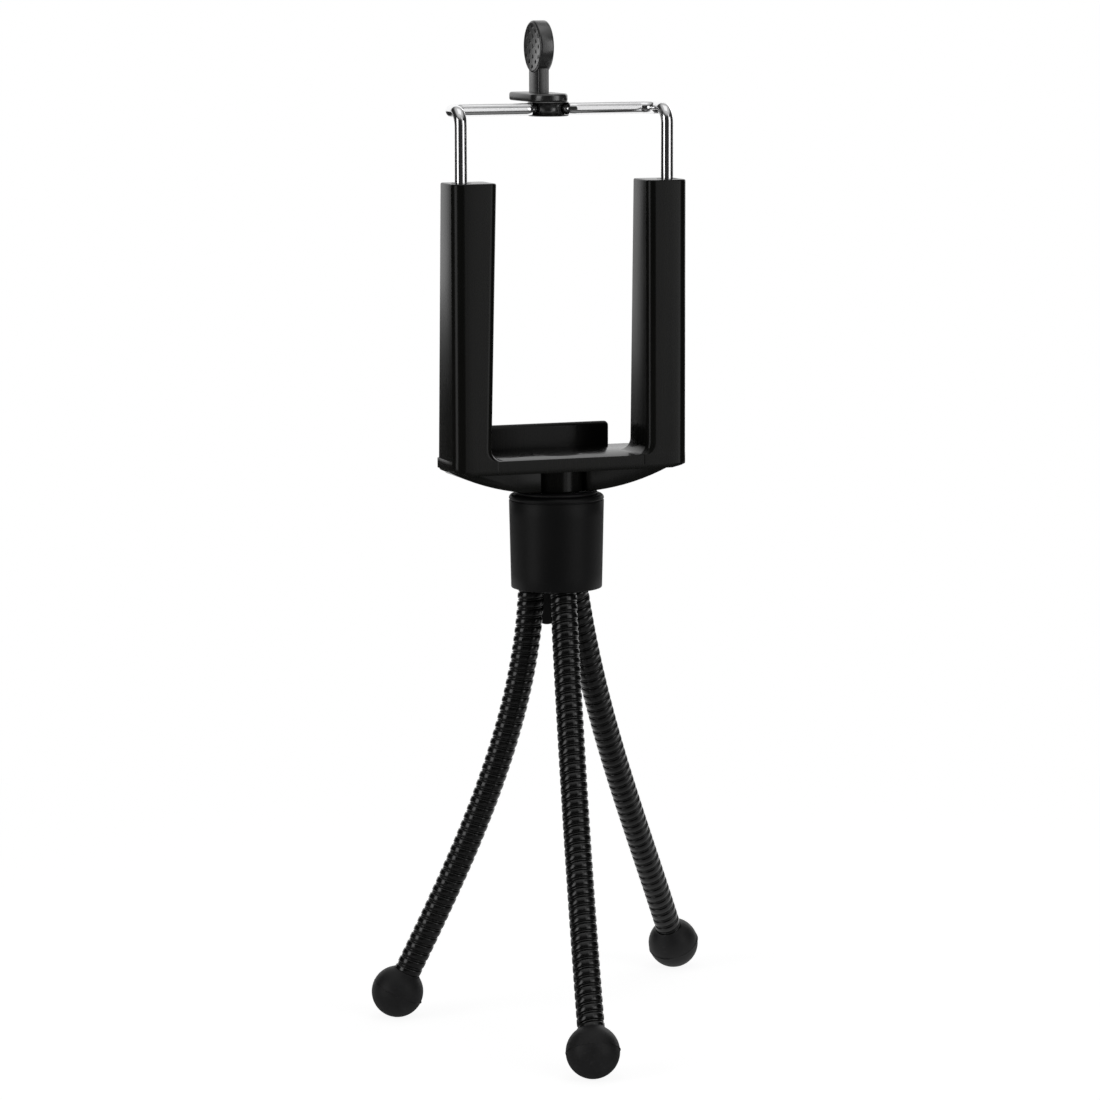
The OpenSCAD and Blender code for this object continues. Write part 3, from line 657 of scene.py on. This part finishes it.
right_plan = (arc(half_w - corner_r, back_y + corner_r + 0.03, corner_r, -90, 0, 8)
              + [(half_w, wing_y), (flat_w, wing_y + half_w - flat_w)]
              + arc(flat_w - front_r, front_y - front_r, front_r, 0, 90, 8))
shelf = prism(right_plan + [(-x, y) for x, y in right_plan[::-1]], "Z", band_z, shelf_z)
for x in (-flat_w + 0.01, flat_w - 0.01):
    cut(shelf, (x, 0, 0), (1, 0, 0), 0.001)
for point in shelf.verts:
    if point.co.z < band_z + 0.1:
        point.co.z = band_z + 0.8 * max(0, abs(point.co.x) - flat_w) / (half_w - flat_w)
rounded(shelf, crisp(shelf, 40), 0.22, 2)

belly_r, flat_x, notch_x, hull_x, narrow_x, hull_y = 47, 3.11, 4.85, 24.6, 21.1, 8.7


def belly_z(x):
    """Underside of the hull: a wide arc on either side."""
    return pad_z + belly_r - math.sqrt(belly_r ** 2 - max(0, abs(x) - flat_x) ** 2)


wing_line = [(x, belly_z(x)) for x in (hull_x, 22.8, 21, 19, 17, 15, 13, 11, 9, 7, notch_x)]
under = wing_line + [(-x, z) for x, z in wing_line[::-1]]
hull = bmesh.new()
spots = [hull.verts.new((x, hull_y, z)) for x, z in under]
tops = [hull.verts.new((x, hull_y, band_z + 1.5)) for x in (hull_x, notch_x, -notch_x, -hull_x)]
count = len(wing_line)
for outline in (spots[:count] + tops[1::-1], spots[count - 1:count + 1] + tops[2:0:-1],
                spots[count:] + tops[:1:-1]):
    bmesh.ops.contextual_create(hull, geom=outline)
sides = hull.faces[:]
# Drawn back in four depths. In the last one the middle stays open: that is the notch.
for depth, notched in ((3.7, False), (3.5, False), (1.5, True), (4.8, False)):
    drawn = bmesh.ops.extrude_face_region(hull, geom=sides)["geom"]
    bmesh.ops.translate(hull, vec=(0, -depth, 0), verts=points_in(drawn))
    sides = [part for part in drawn if isinstance(part, bmesh.types.BMFace)]
    if notched:
        sides = [face for face in sides if abs(face.calc_center_median().x) > 4]
for point in hull.verts:
    if point.co.y > wing_y + 0.1:
        way, past = math.copysign(1, point.co.x), abs(point.co.x) - notch_x
        point.co.x = way * (notch_x + past * (narrow_x - notch_x) / (hull_x - notch_x))
        if point.co.z < band_z + 1.4:
            point.co.z = belly_z(point.co.x)
bmesh.ops.recalc_face_normals(hull, faces=hull.faces)
rounded(hull, crisp(hull, 40), 0.3, 3)

boss_r, boss_h = 5.45, 5.6
boss = turned([(0, 0.04), (5.3, 0.04), (boss_r, 0.2), (boss_r, boss_h), (0, boss_h)])
bmesh.ops.translate(boss, vec=(0, 0, pad_z), verts=boss.verts)


def upstanding(work):
    """The edges of a shape that stand upright."""
    return [edge for edge in work.edges if abs(edge.verts[0].co.z - edge.verts[1].co.z) > 1]


lip_half, lip_h, lip_round = 15, 5, 0.9
lip = block((-lip_half, front_y - 2, shelf_z - 2.5), (lip_half, front_y - 0.02, shelf_z + lip_h))
rounded(lip, upstanding(lip), lip_round, 4)
rims = [edge for edge in crisp(lip, 40)
        if all(point.co.z > shelf_z + lip_h - 1 for point in edge.verts)]
rounded(lip, rims, lip_round, 4)

wire_x, wire_y, spring_bore_r, bore_floor = 22, -5.4, 2.1, 118.3
inner, outer, low_end, post_front = 16.4, 24.95, 115.75, -1.5
inner_r, front_edge_r, flare_r, deeper = 1.6, 0.8, 2.4, 2.1


def upright(side):
    """A hollow post: rounded corners, a flared inner foot and the bore for the spring.
    Its front is deeper at the foot, and the left one's inner side leans."""
    inner_top, inner_foot = (15.7, 16.95) if side < 0 else (16.3, inner)
    plan = (arc(inner + inner_r, back_y + inner_r, inner_r, 180, 270, 7)
            + arc(outer - corner_r, back_y + corner_r, corner_r, 270, 360, 9)
            + arc(outer - front_edge_r, post_front, front_edge_r, 0, 90, 4)
            + arc(inner + front_edge_r, post_front, front_edge_r, 90, 180, 4))
    work = prism(plan, "Z", low_end, mouth_z)
    for n in range(9):
        flare_z = shelf_z + flare_r * (1 - math.cos(math.radians(90 * n / 8)))
        cut(work, (0, 0, flare_z), (0, 0, 1), 0.0001)
    for point in work.verts:
        share = max(0, (point.co.z - shelf_z) / (mouth_z - shelf_z))
        if point.co.y > -3:
            point.co.y += deeper * (1 - share)
        if point.co.x < inner + inner_r + 0.05:
            left = min(1, max(0, shelf_z + flare_r - point.co.z) / flare_r)
            point.co.x += (inner_foot - inner) * (1 - share) + (inner_top - inner) * share
            point.co.x -= flare_r * (1 - math.sqrt(1 - left * left))
    top = max(work.faces, key=lambda face: face.calc_center_median().z)
    rounded(work, top.edges[:], 0.3, 3)
    top = max(work.faces, key=lambda face: (round(face.calc_center_median().z, 3),
                                            face.calc_area()))
    mouth = ring_at(work, (wire_x, wire_y, mouth_z), spring_bore_r)
    holed(work, top, [mouth])
    sunk(work, mouth, (0, 0, bore_floor - mouth_z))
    bmesh.ops.recalc_face_normals(work, faces=work.faces)
    if side < 0:
        bmesh.ops.scale(work, vec=(-1, 1, 1), verts=work.verts)
        bmesh.ops.recalc_face_normals(work, faces=work.faces)
    return work


clamp = joined(shelf, hull, boss, lip, upright(-1), upright(1))
settle("clamp", clamp, "clamp", clamp_gloss, ["clamp_body"],
       Matrix.Translation(screw_axis), sharp=32)


# The insert and its cover
# A knurled brass insert for the screw is set in the boss. A round plastic plate covers
# it, flush with the shelf but for its softened edge.
def brass_look(place):
    clouds = place.noise(500, 4)
    colour = clouds.mix((0.42, 0.27, 0.09, 1), (0.66, 0.46, 0.18, 1))
    return colour, 0.28 + 0.2 * clouds, 0.004 * clouds


brass = coat("insert_brass", brass_look, {"Metallic": 1.0})
repaint(brass, "threaded_insert")

cover_r, cover_t = 5.3, 1.2
cover_outline = ([(0, 0.0), (cover_r, 0.0), (cover_r, 1.16)]
                 + arc(cover_r - 0.2, 1.14, 0.16, 0, 90, 4)
                 + [(cover_r - 1, 1.26), (0, 1.24)])
settle("cover", turned(cover_outline), "clamp", clamp_gloss, ["insert_cover"],
       Matrix.Translation(screw_axis + up * (shelf_z - cover_t)))


# The stops, springs and bushes
# A steel stop is pressed on the lower end of each wire leg. A spring stands on it inside
# the upright and pushes against the nylon bush that is pressed into the upright's mouth.
repaint(drawn_steel, "left_wire_stop", "right_wire_stop")
spring_low, spring_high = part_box("left_spring")[0].z * 1000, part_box("left_spring")[1].z * 1000
spring_r, spring_wire_r, spring_turns, bush_h = 1.7, 0.25, 20, 4


def coil(radius, wire, low, high, turns, steps=24):
    """A compression spring: a round wire wound up with closed ends."""
    work = bmesh.new()
    place = Matrix.Translation((radius, 0, low + wire)) @ Matrix.Rotation(math.radians(90), 4, "X")
    section = bmesh.ops.create_circle(work, cap_ends=True, segments=10, radius=wire,
                                      matrix=place)["verts"]
    edges = list({edge for point in section for edge in point.link_edges})
    rise = high - low - 2 * wire
    close = 2 * wire * 1.1
    for count, climb in ((1, close), (turns - 2, rise - 2 * close), (1, close)):
        points = list({point for edge in edges for point in edge.verts})
        drawn = bmesh.ops.spin(work, geom=points + edges, cent=(0, 0, 0), axis=(0, 0, 1),
                               angle=math.tau * count, dvec=(0, 0, climb / count / steps),
                               steps=steps * count)["geom_last"]
        edges = edges_in(drawn)
    bmesh.ops.contextual_create(work, geom=edges)
    return work


bush_outline = [(1.45, 0.0), (1.95, 0.0), (2.08, 0.12), (2.08, bush_h - 0.1), (1.98, bush_h),
                (1.5, bush_h), (1.33, bush_h - 0.14), (1.33, 0.12)]
for side, name in ((-1, "left"), (1, "right")):
    place = screw_axis + Vector((wire_x * side, wire_y, 0))
    settle(f"{name}_bush", turned(bush_outline, closed=True, steps=48), "clamp",
           hub_nylon, [f"{name}_guide_bush"], Matrix.Translation(place + up * (mouth_z - bush_h)))
    spring = settle(f"{name}_coil",
                    coil(spring_r, spring_wire_r, spring_low, spring_high, spring_turns), None,
                    drawn_steel, [f"{name}_spring"], Matrix.Translation(place),
                    sharp=60)
    foot = (place + up * spring_low) / 1000
    foot + Vector((0, 0, (spring_high - spring_low) / 1000))
    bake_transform(spring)


# The sprung wire
# One chromed spring-steel wire: up out of both uprights, forward, and across the front,
# with a jog that goes half round the waist of the jaw's spool.
def chrome_look(place):
    clouds = place.noise(45, 2)
    pits = place.noise(1500, 5, 0.7).ease(0.66, 0.74)
    colour = (clouds * 0.5 + pits * 0.5).mix((0.98, 0.98, 0.985, 1), (0.78, 0.78, 0.79, 1))
    relief = 0.01 * place.stretch(1, 1, 0.3).noise(160, 2) - 0.003 * pits
    return colour, 0.1 + 0.06 * clouds + 0.2 * pits, relief


chrome = coat("wire_chrome", chrome_look, {"Metallic": 1.0})


def bent_wire(start, radius, moves, sides=28):
    """A round wire drawn from a place going up, through straight runs and bends."""
    work = bmesh.new()
    ring = bmesh.ops.create_circle(work, cap_ends=True, segments=sides, radius=radius,
                                   matrix=Matrix.Translation(start))["verts"]
    edges = list({edge for point in ring for edge in point.link_edges})
    for kind, *move in moves:
        if kind == "run":
            drawn = bmesh.ops.extrude_edge_only(work, edges=edges)["geom"]
            bmesh.ops.translate(work, vec=move[0], verts=points_in(drawn))
        else:
            centre, axis, angle = move
            points = list({point for edge in edges for point in edge.verts})
            drawn = bmesh.ops.spin(work, geom=points + edges, cent=centre, axis=axis,
                                   angle=math.radians(angle),
                                   steps=max(8, int(abs(angle) / 6)))["geom_last"]
        edges = [edge for edge in edges_in(drawn) if len(edge.link_faces) == 1]
    bmesh.ops.contextual_create(work, geom=edges)
    bmesh.ops.remove_doubles(work, verts=work.verts, dist=0.0005)
    return work


wire_z, wire_r, low_z = 187.3, 1.25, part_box("left_wire_stop")[0].z * 1000
top_bend, corner, jog, groove, bar_y, jaw_y = 2.8, 3.0, 1.6, 3.83, 2.6, 4.2
jog_x = groove + jog
across_run, forward_run = jog_x + corner - wire_x, bar_y - wire_y - top_bend - corner
upward, sideways = (1, 0, 0), (0, 0, 1)
bail = bent_wire((wire_x, wire_y, low_z), wire_r, [
    ("run", (0, 0, wire_z - top_bend - low_z)),
    ("bend", (wire_x, top_bend + wire_y, wire_z - top_bend), upward, -90),
    ("run", (0, forward_run, 0)),
    ("bend", (wire_x - corner, bar_y - corner, wire_z), sideways, 90),
    ("run", (across_run, 0, 0)),
    ("bend", (jog_x, jaw_y, wire_z), sideways, -90),
    ("bend", (0, jaw_y, wire_z), sideways, 180),
    ("bend", (-jog_x, jaw_y, wire_z), sideways, -90),
    ("run", (across_run, 0, 0)),
    ("bend", (corner - wire_x, bar_y - corner, wire_z), sideways, 90),
    ("run", (0, -forward_run, 0)),
    ("bend", (-wire_x, top_bend + wire_y, wire_z - top_bend), upward, 90),
    ("run", (0, 0, low_z + top_bend - wire_z))])
settle("bail", bail, "wire", chrome, ["sprung_wire"],
       Matrix.Translation(screw_axis), sharp=50)


# The jaw
# A black moulding: a grooved spool that swings in the wire's jog, a tongue that holds down
# what stands on the shelf, and a thin stalk with a dimpled round paddle for the finger.
def jaw_look(place):
    clouds = place.noise(140, 3)
    lines = place.stretch(1, 0.04, 0.04).noise(2600, 2)
    colour = clouds.mix((0.0075, 0.0075, 0.0075, 1), (0.015, 0.015, 0.0148, 1))
    return colour, 0.2 + 0.12 * clouds + 0.05 * lines, 0.006 * lines + 0.006 * clouds


jaw_gloss = coat("jaw_gloss", jaw_look, {"Specular IOR Level": 1.0, "IOR": 1.65})
jaw_z, tongue_z, tongue_top = 185.8, 188.63, 190.33
groove_r = wire_r + 0.08
spool_outline = ([(0, jaw_z), (3.85, jaw_z), (4.02, jaw_z + 0.06), (4.1, jaw_z + 0.18)]
                 + arc(groove, wire_z, groove_r, 282, 78, 20)
                 + [(4.0, tongue_z + 0.1), (0, tongue_z + 0.1)])
spool = turned(spool_outline)

tongue_half, tongue_y, tip_r = 3.9, 14, 1.6
tongue_outline = (arc(0, 0, tongue_half, 180, 360, 24)
                  + arc(tongue_half - tip_r, tongue_y - tip_r, tip_r, 0, 90, 6)
                  + arc(tip_r - tongue_half, tongue_y - tip_r, tip_r, 90, 180, 6))
tongue = prism(tongue_outline, "Z", tongue_z, tongue_top)
rounded(tongue, crisp(tongue, 40), 0.45, 4)
for point in tongue.verts:
    over = point.co.y - (tongue_y - 1.1)
    if over > 0 and point.co.z < tongue_top - 0.5:
        point.co.z = min(point.co.z + over * 0.8, tongue_top - 0.45)

disc_z, disc_y, disc_r, disc_half, disc_edge = tongue_top + 9.3, 5.6, 5.29, 1.5, 0.45
stalk_half = 3
stalk = block((-1.15, disc_y - stalk_half, tongue_top - 0.6), (1.15, disc_y + stalk_half, disc_z))
rounded(stalk, upstanding(stalk), 0.3, 3)
seam = block((0.42, disc_y - stalk_half - 0.06, tongue_top - 0.2),
             (0.54, disc_y + stalk_half + 0.06, disc_z - 4.6))

face_r = disc_r - disc_edge
face_steps = [face_r * n / 46 for n in range(47)]
disc_outline = ([(r, disc_half) for r in face_steps]
                + arc(face_r, disc_half - disc_edge, disc_edge, 90, 0, 5)[1:]
                + arc(face_r, disc_edge - disc_half, disc_edge, 0, -90, 5)
                + [(r, -disc_half) for r in face_steps[::-1]][1:])
disc = turned(disc_outline, steps=150)
dimple_gap, dimple_row, dimple_r, dimple_deep, face_hollow = 2.05, 1.775, 0.46, 0.2, 0.28
dimples = [((x + (row % 2) / 2) * dimple_gap, row * dimple_row)
           for row in range(-2, 3) for x in range(-2, 3)]
dimples = [(x, y) for x, y in dimples if math.hypot(x, y) < 4.35]
for point in disc.verts:
    if abs(point.co.z) > disc_half - 0.01:
        x, y, _ = point.co
        sink = face_hollow * (1 - (math.hypot(x, y) / face_r) ** 2)
        gap = min(math.hypot(x - dimple_x, y - dimple_y) for dimple_x, dimple_y in dimples)
        if gap < dimple_r:
            sink += dimple_deep * (0.5 + 0.5 * math.cos(math.pi * gap / dimple_r))
        point.co.z -= math.copysign(sink, point.co.z)
bmesh.ops.transform(disc, verts=disc.verts, matrix=Matrix.Translation((0, disc_y, disc_z))
                    @ Matrix.Rotation(math.radians(90), 4, "Y"))
jaw = joined(spool, tongue, stalk, seam, disc)
settle("jaw", jaw, "jaw", jaw_gloss, ["jaw_paddle"],
       Matrix.Translation(screw_axis + Vector((0, jaw_y, 0))), sharp=34)
